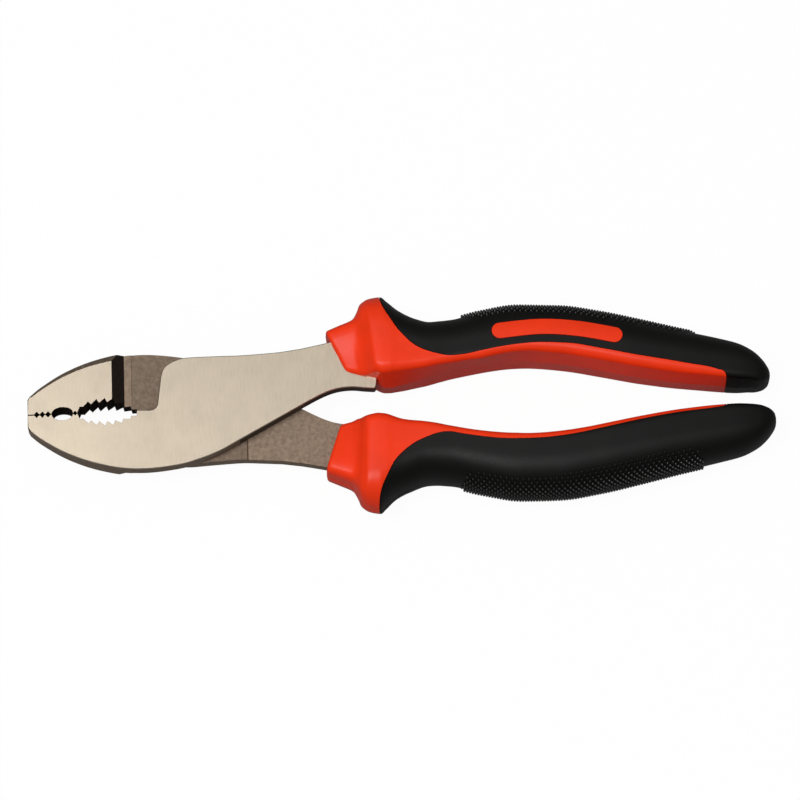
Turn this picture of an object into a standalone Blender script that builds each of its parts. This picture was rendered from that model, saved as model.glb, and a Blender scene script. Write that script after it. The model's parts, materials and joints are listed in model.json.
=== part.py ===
"""Combination pliers: two forged levers on one rivet, each handle with a hard grip core and a soft cover.

Design frame: pivot at the origin, +X towards the handles, +Z out of the front face.
The second half of every pair is the first one turned half a turn about X.
"""

import math

import bmesh
import bpy
from mathutils import Matrix, Vector

MM = 0.001
OBJECT_NAME = "combination_pliers"

# Head
HEAD_THICKNESS = 9.0 * MM
NOSE_THICKNESS = 6.6 * MM
NOSE_X = -43.9 * MM
NOSE_HALF_HEIGHT = 3.8 * MM
JAW_GAP = 0.24 * MM
NOSE_CHAMFER = 0.5 * MM
JAW_CHAMFER = 2.0 * MM
SHOULDER_X = -21.2 * MM
SHOULDER_RUN = 3.2 * MM

# Lap joint
LAP_GAP = 0.2 * MM
LAP_START_X = -16.1 * MM
LAP_END_X = 14.6 * MM
LAP_STRIP_STEP = 0.3 * MM
NECK_STEP = 0.4 * MM
NECK_STEP_RUN = 0.35 * MM

# Jaw notches behind the nose, and the single one between the two grip holes
NOTCH_COUNT = 3
NOTCH_FIRST_X = -41.65 * MM
NOTCH_PITCH = 1.52 * MM
NOTCH_HALF_WIDTH = 0.67 * MM
NOTCH_DEPTH = 0.72 * MM
LONE_NOTCH_X = -31.45 * MM
LONE_NOTCH_SIZE = 0.5 * MM

# Small oval grip hole
OVAL_X = -34.9 * MM
OVAL_HALF_LENGTH = 2.85 * MM
OVAL_DEPTH = 1.95 * MM
OVAL_TOOTH = 0.07
OVAL_STEPS = 18

# Large toothed grip hole
HOLE_START_X = -30.55 * MM
HOLE_END_X = -14.6 * MM
HOLE_MIDDLE_X = -22.7 * MM
HOLE_HALF_LENGTH = 8.0 * MM
HOLE_DEPTH = 4.0 * MM
TOOTH_COUNT = 7
TOOTH_FIRST_X = -30.0 * MM
TOOTH_PITCH = 2.25 * MM
TOOTH_TIP_RATIO = 0.68
TOOTH_FLANK_FIRST = 0.9 * MM
TOOTH_FLANK_LAST = 0.2 * MM

# Hook of the joint plate beside the opposite jaw
HOOK_X = -9.0 * MM
HOOK_FILLET = 2.0 * MM

# Rivet
RIVET_RADIUS = 4.5 * MM
RIVET_HEAD_RADIUS = 6.2 * MM
RIVET_HEAD_DEPTH = 1.7 * MM
RIVET_CLEARANCE = 0.08 * MM
RIVET_FACETS = 48
FRONT_SKIN = 1.3 * MM

# Grip
COVER_WALL = 1.6 * MM
FIT_GAP = 0.25 * MM
COVER_GAP = 0.15 * MM
SPINE_WALL = 0.9 * MM
BORDER_RISE = 0.35 * MM
RED_END_X = 143.4 * MM
RED_END_ROUND = 2.0 * MM
INNER_CORE_START_X = 47.5 * MM
INNER_CORE_END_X = 150.0 * MM
CROWN_STEPS = 6
CHAMFER_STEPS = 2
CHAMFER_BULGE_Y = 0.1
CHAMFER_BULGE_Z = 0.25
CHEEK_START_X = 41.0 * MM
CHEEK_END_X = 50.6 * MM
CHEEK_INSET = 1.2 * MM
CHEEK_TOP = 10.5 * MM
CHEEK_DEPTH = 4.9 * MM
PAD_RISE = 0.2 * MM
PAD_HALF_HEIGHT = 2.3 * MM
PAD_ROOT = 0.8 * MM

# Studs on the outer side of the cover: the main ones of a finer pattern, in rows offset by half a pitch
STUD_START_X = 72.2 * MM
STUD_END_X = 137.0 * MM
STUD_PITCH = 5.92 * MM
STUD_ROW = 4.72 * MM
STUD_ROWS_EACH_SIDE = 2
STUD_RADIUS = 0.9 * MM
STUD_TIP_RADIUS = 0.5 * MM
STUD_HEIGHT = 0.8 * MM
STUD_SINK = 0.5 * MM
STUD_SIDES = 6
STUD_CURVE_STEPS = 60

# Curve resolution, and the distances that the modelling steps work with
CURVE_STEPS = 4
BORDER_CURVE_STEPS = 3
FILLET_STEPS = 5
CORNER_STEPS = 3
ROUND_END_STEPS = 6
OVERCUT = 2.0 * MM
MERGE_DISTANCE = 0.01 * MM
STRAIGHT_ANGLE = math.radians(0.115)
SHARP_ANGLE = math.radians(28)

# Lower edge of the front lever, from the nose to the neck, in mm
LOWER_EDGE = (
    (-43.3, -4.8), (-40.6, -7.1), (-35.3, -10.5), (-30.0, -13.0), (-24.6, -14.8), (-18.5, -16.1),
    (-11.5, -16.4), (-3.4, -15.5), (1.9, -14.1), (7.4, -12.0), (12.8, -9.1),
)
# Upper edge of the joint plate, from the hook to the neck, in mm
PLATE_TOP = (
    (-8.1, 8.8), (-7.6, 10.6), (-6.4, 12.2), (-3.9, 13.5), (-1.2, 14.1), (6.0, 14.0), (13.2, 13.85),
    (18.6, 14.1), (24.0, 14.45),
)
# Neck and tang: (x, lower edge, upper edge) in mm
TANG = (
    (29.4, 0.0, 15.2), (35.0, 2.9, 16.3), (39.0, 4.3, 17.2), (43.0, 4.7, 17.9), (49.4, 4.1, 18.2),
    (54.0, 7.6, 17.8), (62.0, 11.0, 17.6), (75.0, 14.0, 18.6), (90.0, 15.8, 20.0), (104.0, 14.2, 18.2),
    (112.0, 12.6, 16.4),
)
# Grip sections along the upper handle, all in mm but lean and power:
# x at the outer edge, lean, outer y, crown, power, half thickness, inner y, chamfer in y, chamfer in z
STATIONS = (
    (35.8, 0.38, 20.2, 2.2, 6.0, 6.8, 8.4, 1.2, 1.2),
    (39.4, 0.34, 21.9, 2.4, 6.0, 7.3, 7.4, 1.8, 2.0),
    (43.3, 0.27, 23.3, 2.9, 4.6, 7.8, 6.6, 2.4, 3.0),
    (45.0, 0.20, 25.3, 4.0, 3.4, 9.0, 6.0, 2.6, 4.2),
    (46.2, 0.15, 27.7, 5.2, 2.9, 10.4, 5.6, 2.4, 5.0),
    (47.0, 0.13, 28.5, 5.8, 2.7, 11.1, 5.3, 2.3, 5.2),
    (48.2, 0.10, 29.0, 6.2, 2.5, 11.3, 4.9, 2.3, 5.4),
    (50.6, 0.05, 29.3, 6.4, 2.5, 11.4, 4.3, 2.2, 5.4),
    (52.2, 0.03, 28.4, 6.3, 2.4, 11.4, 4.2, 2.2, 5.4),
    (55.0, 0.00, 25.4, 6.0, 2.4, 11.2, 5.0, 2.2, 5.0),
    (59.0, 0.00, 23.4, 5.6, 2.4, 11.0, 6.4, 2.0, 4.0),
    (64.0, 0.00, 22.1, 5.3, 2.4, 10.9, 7.8, 1.6, 3.0),
    (69.4, 0.00, 22.5, 5.3, 2.4, 10.8, 9.2, 1.3, 2.6),
    (77.4, 0.00, 24.1, 5.4, 2.4, 10.8, 10.6, 1.2, 2.6),
    (88.0, 0.00, 25.7, 5.6, 2.4, 10.8, 11.5, 1.2, 2.6),
    (98.8, 0.00, 25.5, 5.6, 2.4, 10.8, 10.8, 1.2, 2.6),
    (109.5, 0.00, 23.9, 5.4, 2.4, 10.8, 8.9, 1.2, 2.6),
    (120.2, 0.00, 21.5, 5.2, 2.4, 10.6, 6.9, 1.2, 2.6),
    (130.8, 0.00, 18.9, 5.0, 2.4, 10.1, 5.1, 1.2, 2.6),
    (141.5, 0.00, 16.5, 4.8, 2.4, 9.4, 3.8, 1.2, 2.6),
    (147.2, 0.00, 15.1, 4.6, 2.4, 8.9, 3.4, 1.2, 2.5),
    (151.4, 0.00, 13.0, 4.4, 2.4, 8.1, 3.4, 1.2, 2.4),
    (154.0, 0.00, 10.7, 3.6, 2.3, 6.8, 3.9, 1.2, 2.2),
    (155.5, 0.00, 8.6, 2.2, 2.2, 5.0, 4.8, 1.0, 1.8),
    (156.1, 0.00, 7.3, 0.9, 2.0, 3.0, 5.8, 0.3, 0.8),
)
# Where the cover starts behind the guard, in mm, from the outer edge to the inner side
GUARD_BORDER = (
    (50.2, 29.6), (50.5, 27.0), (51.4, 24.3), (53.4, 20.6), (55.3, 17.6), (58.6, 14.3), (62.4, 12.1),
)
# Where the border has joined the line beside the inner chamfer, and its points' spacing from there
BORDER_JOIN_X = 68.0 * MM
BORDER_STEP = 7.5 * MM
# Middle line of the window pad on the front of the upper grip, in mm
PAD_LINE = ((82.9, 17.2), (94.0, 18.4), (104.0, 17.7), (113.5, 15.9))

# Finishes: base colour, roughness, metallic
LEVER_STEEL = ((0.62, 0.56, 0.48, 1.0), 0.38, 1.0)
RIVET_STEEL = ((0.50, 0.46, 0.40, 1.0), 0.40, 1.0)
HARD_RED = ((0.80, 0.045, 0.017, 1.0), 0.42, 0.0)
SOFT_BLACK = ((0.012, 0.011, 0.010, 1.0), 0.55, 0.0)


def scaled(points):
    return [tuple(value * MM for value in point) for point in points]


def smooth(points, steps=CURVE_STEPS):
    """Points along a curve that passes through the given ones."""
    ends = [points[0]] + list(points) + [points[-1]]
    curve = []
    for index in range(1, len(ends) - 2):
        before, start, end, after = (Vector(point) for point in ends[index - 1:index + 3])
        for step in range(steps):
            t = step / steps
            curve.append(tuple(
                0.5 * (2 * start + (end - before) * t
                       + (2 * before - 5 * start + 4 * end - after) * t ** 2
                       + (3 * start - before - 3 * end + after) * t ** 3)))
    curve.append(tuple(points[-1]))
    return curve


def slopes(xs, ys):
    """Slopes of a curve through the values that never overshoots them."""
    rates = [(ys[i + 1] - ys[i]) / (xs[i + 1] - xs[i]) for i in range(len(xs) - 1)]
    inner = [2 * a * b / (a + b) if a * b > 0 else 0.0 for a, b in zip(rates, rates[1:])]
    return [rates[0]] + inner + [rates[-1]]


STATION_X = [row[0] for row in STATIONS]
STATION_SLOPES = [slopes(STATION_X, [row[k] for row in STATIONS]) for k in range(len(STATIONS[0]))]


def station(x):
    """The grip's section values at a place along the handle, all in mm."""
    i = max(k for k in range(len(STATIONS) - 1) if STATION_X[k] <= x or k == 0)
    span = STATION_X[i + 1] - STATION_X[i]
    t = (x - STATION_X[i]) / span
    values = []
    for k, slope in enumerate(STATION_SLOPES):
        a, b = STATIONS[i][k], STATIONS[i + 1][k]
        values.append(a * (1 + 2 * t) * (1 - t) ** 2 + b * t * t * (3 - 2 * t)
                      + span * (slope[i] * t * (1 - t) ** 2 - slope[i + 1] * t * t * (1 - t)))
    return values


def ring(x, inset=0.0, inner_inset=0.0):
    """One closed section of the grip, drawn in by the inset, and by the other one on its inner side."""
    x_mm, lean, edge, crown, power, half, inner, chamfer_y, chamfer_z = station(x / MM)
    outer = edge - inset / MM
    half -= inset / MM
    inner += inner_inset / MM
    crown_start = outer - crown
    flank_end = inner + chamfer_y
    side = []
    for step in range(CROWN_STEPS):
        angle = 0.5 * math.pi * step / CROWN_STEPS
        reach = math.cos(angle) ** (2 / power)
        width = math.sin(angle) ** (2 / power)
        side.append((crown_start + crown * reach, half * width))
    side.append((crown_start, half))
    for step in range(CHAMFER_STEPS + 1):
        t = step / CHAMFER_STEPS
        bulge = math.sin(math.pi * t)
        side.append((flank_end - chamfer_y * (t - CHAMFER_BULGE_Y * bulge),
                     half - chamfer_z * (t - CHAMFER_BULGE_Z * bulge)))
    side.append((inner, 0.0))
    other = [(y, -z) for y, z in reversed(side[1:-1])]
    return [Vector((x_mm + lean * (edge - y), y, z)) * MM for y, z in side + other]


def collection(name, parent):
    made = bpy.data.collections.new(name)
    parent.children.link(made)
    return made


def add(name, mesh, home):
    made = bpy.data.objects.new(name, mesh)
    home.objects.link(made)
    return made


def finished(name, bm, home):
    """A closed mesh object from the bmesh, its faces turned outwards."""
    bmesh.ops.remove_doubles(bm, verts=bm.verts, dist=MERGE_DISTANCE)
    bmesh.ops.recalc_face_normals(bm, faces=bm.faces)
    mesh = bpy.data.meshes.new(name)
    bm.to_mesh(mesh)
    bm.free()
    return add(name, mesh, home)


def prism(name, outline, low, high, home):
    """A flat outline in XY, filled and extruded from low to high."""
    curve = bpy.data.curves.new(name, "CURVE")
    curve.dimensions = "2D"
    curve.fill_mode = "BOTH"
    curve.extrude = (high - low) / 2
    spline = curve.splines.new("POLY")
    spline.points.add(len(outline) - 1)
    for point, place in zip(spline.points, outline):
        point.co = (place[0], place[1], 0.0, 1.0)
    spline.use_cyclic_u = True
    drawn = add(name + "_outline", curve, home)
    bpy.context.view_layer.update()
    mesh = bpy.data.meshes.new_from_object(drawn.evaluated_get(bpy.context.evaluated_depsgraph_get()))
    bpy.data.objects.remove(drawn)
    bm = bmesh.new()
    bm.from_mesh(mesh)
    bmesh.ops.translate(bm, vec=(0.0, 0.0, (high + low) / 2), verts=bm.verts)
    bmesh.ops.remove_doubles(bm, verts=bm.verts, dist=MERGE_DISTANCE)
    bmesh.ops.dissolve_limit(bm, angle_limit=STRAIGHT_ANGLE, verts=bm.verts, edges=bm.edges)
    return finished(name, bm, home)


def turned(name, profile, home):
    """A solid of revolution about Z from a profile of (radius, z) that starts and ends on the axis."""
    bm = bmesh.new()
    verts = [bm.verts.new((radius, 0.0, z)) for radius, z in profile]
    edges = [bm.edges.new(pair) for pair in zip(verts, verts[1:])]
    bmesh.ops.spin(bm, geom=verts + edges, cent=(0, 0, 0), axis=(0, 0, 1), angle=math.tau,
                   steps=RIVET_FACETS, use_merge=True)
    return finished(name, bm, home)


def loft(name, rings, home):
    """A closed body through rings of equal point counts, with a flat face on each end."""
    bm = bmesh.new()
    loops = [[bm.verts.new(place) for place in points] for points in rings]
    count = len(loops[0])
    for near, far in zip(loops, loops[1:]):
        for i in range(count):
            bm.faces.new((near[i], near[(i + 1) % count], far[(i + 1) % count], far[i]))
    bm.faces.new(loops[0])
    bm.faces.new(loops[-1])
    return finished(name, bm, home)


def combine(target, operation, *tools):
    """Apply exact booleans to the target, one after another."""
    for tool in tools:
        step = target.modifiers.new(tool.name, "BOOLEAN")
        step.operation = operation
        step.solver = "EXACT"
        step.object = tool
    bpy.context.view_layer.update()
    mesh = bpy.data.meshes.new_from_object(target.evaluated_get(bpy.context.evaluated_depsgraph_get()))
    target.modifiers.clear()
    target.data = mesh
    return target


def notch(x, half_width, depth, line):
    return [(x - half_width, line), (x, line - depth), (x + half_width, line)]


def hole_depth(x):
    reach = (x - HOLE_MIDDLE_X) / HOLE_HALF_LENGTH
    return HOLE_DEPTH * math.sqrt(max(0.0, 1 - reach * reach))


def closing_line():
    """The biting edge of the front lever's jaw, from the nose to the end of the toothed hole."""
    line = -JAW_GAP / 2
    points = [(NOSE_X, line)]
    for i in range(NOTCH_COUNT):
        points += notch(NOTCH_FIRST_X + i * NOTCH_PITCH, NOTCH_HALF_WIDTH, NOTCH_DEPTH, line)
    for step in range(OVAL_STEPS + 1):
        angle = math.pi * step / OVAL_STEPS
        reach = 1 - OVAL_TOOTH * (step % 2)
        points.append((OVAL_X - OVAL_HALF_LENGTH * math.cos(angle) * reach,
                       line - OVAL_DEPTH * math.sin(angle) * reach))
    points += notch(LONE_NOTCH_X, LONE_NOTCH_SIZE, LONE_NOTCH_SIZE, line)
    points.append((HOLE_START_X, line))
    for i in range(TOOTH_COUNT):
        valley = TOOTH_FIRST_X + i * TOOTH_PITCH
        share = i / (TOOTH_COUNT - 1)
        tip = valley + TOOTH_FLANK_FIRST + (TOOTH_FLANK_LAST - TOOTH_FLANK_FIRST) * share
        points.append((valley, -hole_depth(valley)))
        points.append((tip, -hole_depth(tip) * TOOTH_TIP_RATIO))
    points.append((HOLE_END_X, points[-1][1]))
    points.append((HOLE_END_X, line))
    return points


def tang_outline(gap=0.0, reach=0.0):
    """Neck and tang edges: the upper one outwards, round the end, the lower one back."""
    rows = scaled(TANG)
    upper = [(x, top + gap) for x, _, top in rows]
    lower = [(x, bottom - gap) for x, bottom, _ in rows]
    upper[0] = (upper[0][0] - reach, upper[0][1])
    lower[0] = (lower[0][0] - reach, lower[0][1])
    upper[-1] = (upper[-1][0] + gap, upper[-1][1])
    lower[-1] = (lower[-1][0] + gap, lower[-1][1])
    return smooth(upper) + list(reversed(smooth(lower)))


def lever_outline():
    line = -JAW_GAP / 2
    fillet = []
    for step in range(FILLET_STEPS + 1):
        angle = 0.5 * math.pi * step / FILLET_STEPS
        fillet.append((HOOK_X - HOOK_FILLET * (1 - math.sin(angle)),
                       line + HOOK_FILLET * (1 - math.cos(angle))))
    lower_edge = list(reversed(smooth(scaled(LOWER_EDGE))))
    nose = [(NOSE_X, -NOSE_HALF_HEIGHT)]
    return closing_line() + fillet + smooth(scaled(PLATE_TOP)) + tang_outline() + lower_edge + nose


def head_half(x):
    """Half the head's thickness at x: full behind the shoulder and thinner towards the nose."""
    share = max(0.0, (SHOULDER_X - x) / (SHOULDER_X - NOSE_X))
    return (HEAD_THICKNESS + share * (NOSE_THICKNESS - HEAD_THICKNESS)) / 2


def jaw_chamfer(tools):
    """A triangle swept along the back of the jaw's outer edge, wider towards the shoulder."""
    edge = [Vector(point) for point in smooth(scaled(LOWER_EDGE)) if point[0] < SHOULDER_X + SHOULDER_RUN]
    rings = []
    for i, place in enumerate(edge):
        along = (edge[min(i + 1, len(edge) - 1)] - edge[max(i - 1, 0)]).normalized()
        outward = Vector((along.y, -along.x))
        size = NOSE_CHAMFER + (JAW_CHAMFER - NOSE_CHAMFER) * i / (len(edge) - 1)
        back = -head_half(place.x)
        inside = place - 2 * size * outward
        outside = place + size * outward
        rings.append([(*inside, back - size), (*outside, back - size), (*outside, back + 2 * size)])
    return loft("jaw_chamfer", rings, tools)


def lever_blank(home, tools):
    """Front lever without its rivet hole: its outline, thinned nose, milled lap and chamfered back."""
    half = HEAD_THICKNESS / 2
    blank = prism("front_lever", lever_outline(), -half, half, home)
    bm = bmesh.new()
    bm.from_mesh(blank.data)
    bmesh.ops.bisect_plane(bm, geom=bm.verts[:] + bm.edges[:] + bm.faces[:], dist=MERGE_DISTANCE / 10,
                           plane_co=(SHOULDER_X, 0, 0), plane_no=(1, 0, 0))
    for vert in bm.verts:
        vert.co.z *= head_half(vert.co.x) / half
    bmesh.ops.triangulate(bm, faces=bm.faces, quad_method="BEAUTY", ngon_method="BEAUTY")
    bm.to_mesh(blank.data)
    bm.free()
    foot = SHOULDER_X + SHOULDER_RUN
    lap = LAP_GAP / 2
    deep = -half - OVERCUT
    run = SHOULDER_RUN / (half + lap - LAP_STRIP_STEP) * OVERCUT
    far = scaled(TANG)[-1][0] + OVERCUT
    strip = lap - LAP_STRIP_STEP
    neck = lap + NECK_STEP
    profile = [(SHOULDER_X - run, deep), (foot, strip), (LAP_START_X, strip), (LAP_START_X, lap),
               (LAP_END_X, lap), (LAP_END_X + NECK_STEP_RUN, neck), (far, neck), (far, deep)]
    width = 2 * max(abs(y) for _, y in lever_outline())
    mill = prism("lap_mill", profile, -width, width, tools)
    mill.data.transform(Matrix.Rotation(math.pi / 2, 4, "X"))
    return combine(blank, "DIFFERENCE", mill, jaw_chamfer(tools))


def rivet_profile(gap, beyond):
    """Half section of the rivet from the back head to its blind end; the gap and overcut make its hole."""
    half = HEAD_THICKNESS / 2
    front = half - FRONT_SKIN + gap
    slope = (RIVET_HEAD_RADIUS - RIVET_RADIUS) / RIVET_HEAD_DEPTH
    return [(0.0, -half - beyond), (RIVET_HEAD_RADIUS + gap + slope * beyond, -half - beyond),
            (RIVET_RADIUS + gap, -half + RIVET_HEAD_DEPTH), (RIVET_RADIUS + gap, front), (0.0, front)]


def red_border(shift):
    """Line in XY between the hard core and the soft cover, moved towards the cover by the shift."""
    guard = [(x + shift, y + shift) for x, y in scaled(GUARD_BORDER)]
    flank = []
    steps = int((RED_END_X - BORDER_JOIN_X) / BORDER_STEP)
    for k in range(steps + 1):
        x = BORDER_JOIN_X + (RED_END_X - BORDER_JOIN_X) * k / steps
        inner, chamfer = station(x / MM)[6:8]
        flank.append((x, (inner + chamfer) * MM + BORDER_RISE + shift))
    last_x, last_y = flank.pop()
    corner = []
    for k in range(CORNER_STEPS + 1):
        angle = 0.5 * math.pi * k / CORNER_STEPS
        corner.append((last_x + shift - RED_END_ROUND * (1 - math.sin(angle)),
                       last_y - RED_END_ROUND * (1 - math.cos(angle))))
    return smooth(guard + flank + corner, BORDER_CURVE_STEPS)


def red_outline(shift):
    border = red_border(shift)
    left = STATIONS[0][0] * MM - 2 * OVERCUT
    top = max(row[2] for row in STATIONS) * MM + OVERCUT
    return [(left, -OVERCUT), (left, top), (border[0][0], top)] + border + [(border[-1][0], -OVERCUT)]


def pad_outline(grow):
    """Rounded strip along the pad's middle line."""
    line = [Vector(point) for point in smooth(scaled(PAD_LINE), BORDER_CURVE_STEPS)]
    radius = PAD_HALF_HEIGHT + grow
    across = []
    for i, place in enumerate(line):
        along = (line[min(i + 1, len(line) - 1)] - line[max(i - 1, 0)]).normalized()
        across.append(Vector((-along.y, along.x)))
    upper = [place + radius * normal for place, normal in zip(line, across)]
    lower = [place - radius * normal for place, normal in zip(line, across)]

    def end(place, normal):
        turns = (math.pi * k / ROUND_END_STEPS for k in range(1, ROUND_END_STEPS))
        return [place + radius * (Matrix.Rotation(-turn, 2) @ normal) for turn in turns]

    outline = upper + end(line[-1], across[-1]) + list(reversed(lower)) + end(line[0], -across[0])
    return [tuple(place) for place in outline]


def cheek_outline():
    """Part of the collar that backs the tang's inner edge, set in from that edge."""
    edge = [(x, y + CHEEK_INSET) for x, y in smooth([(x, bottom) for x, bottom, _ in scaled(TANG)])
            if CHEEK_START_X < x < CHEEK_END_X]
    lip_x, lip_y = edge[0]
    lean = STATIONS[0][1]
    return edge + [(CHEEK_END_X, CHEEK_TOP), (lip_x - lean * (CHEEK_TOP - lip_y), CHEEK_TOP)]


def section_places(start, stop):
    return [start] + [x * MM for x in STATION_X if start < x * MM < stop] + [stop]


def grip_body(name, inset, inner_inset, start, stop, home):
    return loft(name, [ring(x, inset, inner_inset) for x in section_places(start, stop)], home)


def crown_place(x, along):
    """Point and outward direction on the grip's crown at a distance along it from its top."""
    edge, crown, power, half = station(x / MM)[2:6]
    curve = []
    for step in range(STUD_CURVE_STEPS + 1):
        angle = 0.5 * math.pi * step / STUD_CURVE_STEPS
        reach = max(0.0, math.cos(angle)) ** (2 / power)
        width = math.sin(angle) ** (2 / power)
        curve.append(Vector((x, (edge - crown + crown * reach) * MM, math.copysign(half * width * MM, along))))
    left = abs(along)
    for near, far in zip(curve, curve[1:]):
        span = (far - near).length
        if left <= span:
            break
        left -= span
    out = (far - near).cross(Vector((1, 0, 0))).normalized()
    if out.y < 0:
        out.negate()
    return near.lerp(far, left / span), out


def main_studs(tools):
    """The cover's main studs, each a tapered peg that stands square on the crown."""
    bm = bmesh.new()
    for row in range(-STUD_ROWS_EACH_SIDE, STUD_ROWS_EACH_SIDE + 1):
        setback = STUD_PITCH * abs(row) / 2
        x = STUD_START_X + setback
        while x <= STUD_END_X - setback:
            foot, out = crown_place(x, row * STUD_ROW)
            level = foot + out * (STUD_HEIGHT - STUD_SINK) / 2
            aim = out.to_track_quat("Z", "X").to_matrix().to_4x4()
            bmesh.ops.create_cone(bm, cap_ends=True, segments=STUD_SIDES, radius1=STUD_RADIUS,
                                  radius2=STUD_TIP_RADIUS, depth=STUD_HEIGHT + STUD_SINK,
                                  matrix=Matrix.Translation(level) @ aim)
            x += STUD_PITCH
    return finished("main_studs", bm, tools)


def grip(home, tools):
    """Hard core and soft cover of the upper handle."""
    start, stop = STATION_X[0] * MM, STATION_X[-1] * MM
    high = 2 * max(row[5] for row in STATIONS) * MM
    red = prism("red_region", red_outline(0.0), -high, high, tools)
    red_wide = prism("red_region_wide", red_outline(COVER_GAP), -high, high, tools)
    inner = grip_body("inner_core", COVER_WALL + COVER_GAP, SPINE_WALL + COVER_GAP,
                      INNER_CORE_START_X, INNER_CORE_END_X, tools)
    hollow = grip_body("cover_hollow", COVER_WALL, SPINE_WALL,
                       INNER_CORE_START_X, INNER_CORE_END_X + COVER_GAP, tools)
    flank = station(PAD_LINE[1][0])[5] * MM
    bottom = flank - COVER_WALL - PAD_ROOT
    pad = prism("window_pad", pad_outline(-COVER_GAP), bottom, flank + PAD_RISE, tools)
    window = prism("window", pad_outline(0.0), bottom - COVER_GAP, flank + OVERCUT, tools)
    low = LAP_GAP / 2 + NECK_STEP
    front = HEAD_THICKNESS / 2
    socket = prism("tang_socket", tang_outline(FIT_GAP, OVERCUT), low - FIT_GAP, front + FIT_GAP, tools)
    cheek = prism("tang_cheek", cheek_outline(), -CHEEK_DEPTH, low - FIT_GAP / 2, tools)
    core = grip_body("upper_grip_core", 0.0, 0.0, start, stop, home)
    combine(core, "INTERSECT", red)
    combine(core, "UNION", inner, pad, cheek)
    combine(core, "DIFFERENCE", socket)
    cover = grip_body("upper_grip_cover", 0.0, 0.0, start, stop, home)
    combine(cover, "DIFFERENCE", red_wide, hollow, window)
    combine(cover, "UNION", main_studs(tools))
    return core, cover


def turned_copy(source, name, home):
    """The same piece for the other half, turned half a turn about X."""
    mesh = source.data.copy()
    mesh.name = name
    mesh.transform(Matrix.Rotation(math.pi, 4, "X"))
    return add(name, mesh, home)


def finish(piece, look):
    """Clean the mesh, and give it its material and shading."""
    colour, roughness, metallic = look
    bm = bmesh.new()
    bm.from_mesh(piece.data)
    bmesh.ops.remove_doubles(bm, verts=bm.verts, dist=MERGE_DISTANCE)
    bmesh.ops.triangulate(bm, faces=[face for face in bm.faces if len(face.verts) > 4])
    bm.to_mesh(piece.data)
    bm.free()
    material = bpy.data.materials.new(piece.name)
    material.use_nodes = True
    shader = material.node_tree.nodes["Principled BSDF"]
    shader.inputs["Base Color"].default_value = colour
    shader.inputs["Roughness"].default_value = roughness
    shader.inputs["Metallic"].default_value = metallic
    piece.data.materials.clear()
    piece.data.materials.append(material)
    piece.data.shade_smooth()
    piece.data.set_sharp_from_angle(angle=SHARP_ANGLE)


def main():
    for old in list(bpy.data.objects):
        bpy.data.objects.remove(old)
    scene = bpy.context.scene.collection
    parts = collection(OBJECT_NAME, scene)
    tools = collection(OBJECT_NAME + "_cutters", scene)

    front = lever_blank(parts, tools)
    rear = turned_copy(front, "rear_lever", parts)
    hole = turned("rivet_hole", rivet_profile(RIVET_CLEARANCE, OVERCUT), tools)
    combine(front, "DIFFERENCE", hole)
    combine(rear, "DIFFERENCE", hole)
    rivet = turned("pivot_rivet", rivet_profile(0.0, 0.0), parts)
    upper_core, upper_cover = grip(parts, tools)
    lower_core = turned_copy(upper_core, "lower_grip_core", parts)
    lower_cover = turned_copy(upper_cover, "lower_grip_cover", parts)

    for lever in (front, rear):
        finish(lever, LEVER_STEEL)
    finish(rivet, RIVET_STEEL)
    for core in (upper_core, lower_core):
        finish(core, HARD_RED)
    for cover in (upper_cover, lower_cover):
        finish(cover, SOFT_BLACK)

    corners = [vert.co for piece in parts.objects for vert in piece.data.vertices]
    low = Vector([min(corner[k] for corner in corners) for k in range(3)])
    high = Vector([max(corner[k] for corner in corners) for k in range(3)])
    shift = Vector((-(low.x + high.x) / 2, -(low.y + high.y) / 2, -low.z))
    for piece in parts.objects:
        piece.location = shift
    for tool in tools.objects:
        tool.location = shift
        tool.hide_render = True
        tool.display_type = "WIRE"


main()
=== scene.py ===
"""Combination pliers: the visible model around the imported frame.

Shapes are drawn in millimetres in the tool's own frame: pivot at the origin, +X towards the handles,
+Z out of the front face. Lower and rear pieces are drawn as upper and front ones, then turned about X.
"""

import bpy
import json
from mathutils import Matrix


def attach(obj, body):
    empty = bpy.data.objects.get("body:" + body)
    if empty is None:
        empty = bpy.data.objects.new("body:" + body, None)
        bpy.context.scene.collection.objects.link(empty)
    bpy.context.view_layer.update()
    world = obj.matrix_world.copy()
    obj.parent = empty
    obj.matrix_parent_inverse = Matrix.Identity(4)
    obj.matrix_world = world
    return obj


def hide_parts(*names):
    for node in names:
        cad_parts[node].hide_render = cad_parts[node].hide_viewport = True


bl_info = {
    "name": "Combination Pliers",
    "version": (1, 0, 0),
    "blender": (4, 5, 0),
    "location": "View3D > Sidebar > Pliers",
    "description": "Builds combination pliers with ground levers and two-part studded grips",
    "category": "Object",
}

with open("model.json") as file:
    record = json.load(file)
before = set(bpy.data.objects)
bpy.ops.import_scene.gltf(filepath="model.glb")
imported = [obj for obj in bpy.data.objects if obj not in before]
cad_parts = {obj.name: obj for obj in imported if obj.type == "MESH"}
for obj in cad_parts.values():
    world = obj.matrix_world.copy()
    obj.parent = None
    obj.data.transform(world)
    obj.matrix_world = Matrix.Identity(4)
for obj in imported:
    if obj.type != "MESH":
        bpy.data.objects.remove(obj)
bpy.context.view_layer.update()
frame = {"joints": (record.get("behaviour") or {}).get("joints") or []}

import json
import math
from collections import namedtuple

import bmesh
import bpy
from bpy.props import FloatProperty, FloatVectorProperty, PointerProperty
from bpy.types import Operator, Panel, PropertyGroup
from mathutils import Matrix, Vector

PIVOT = Vector(frame["joints"][0]["pos_m"])
MM = 0.001
FRONT_HALF = "front_half"
REAR_HALF = "rear_half"
UPPER, LOWER = 1, -1
HALF_TURN = Matrix.Rotation(math.pi, 4, "X")
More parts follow.
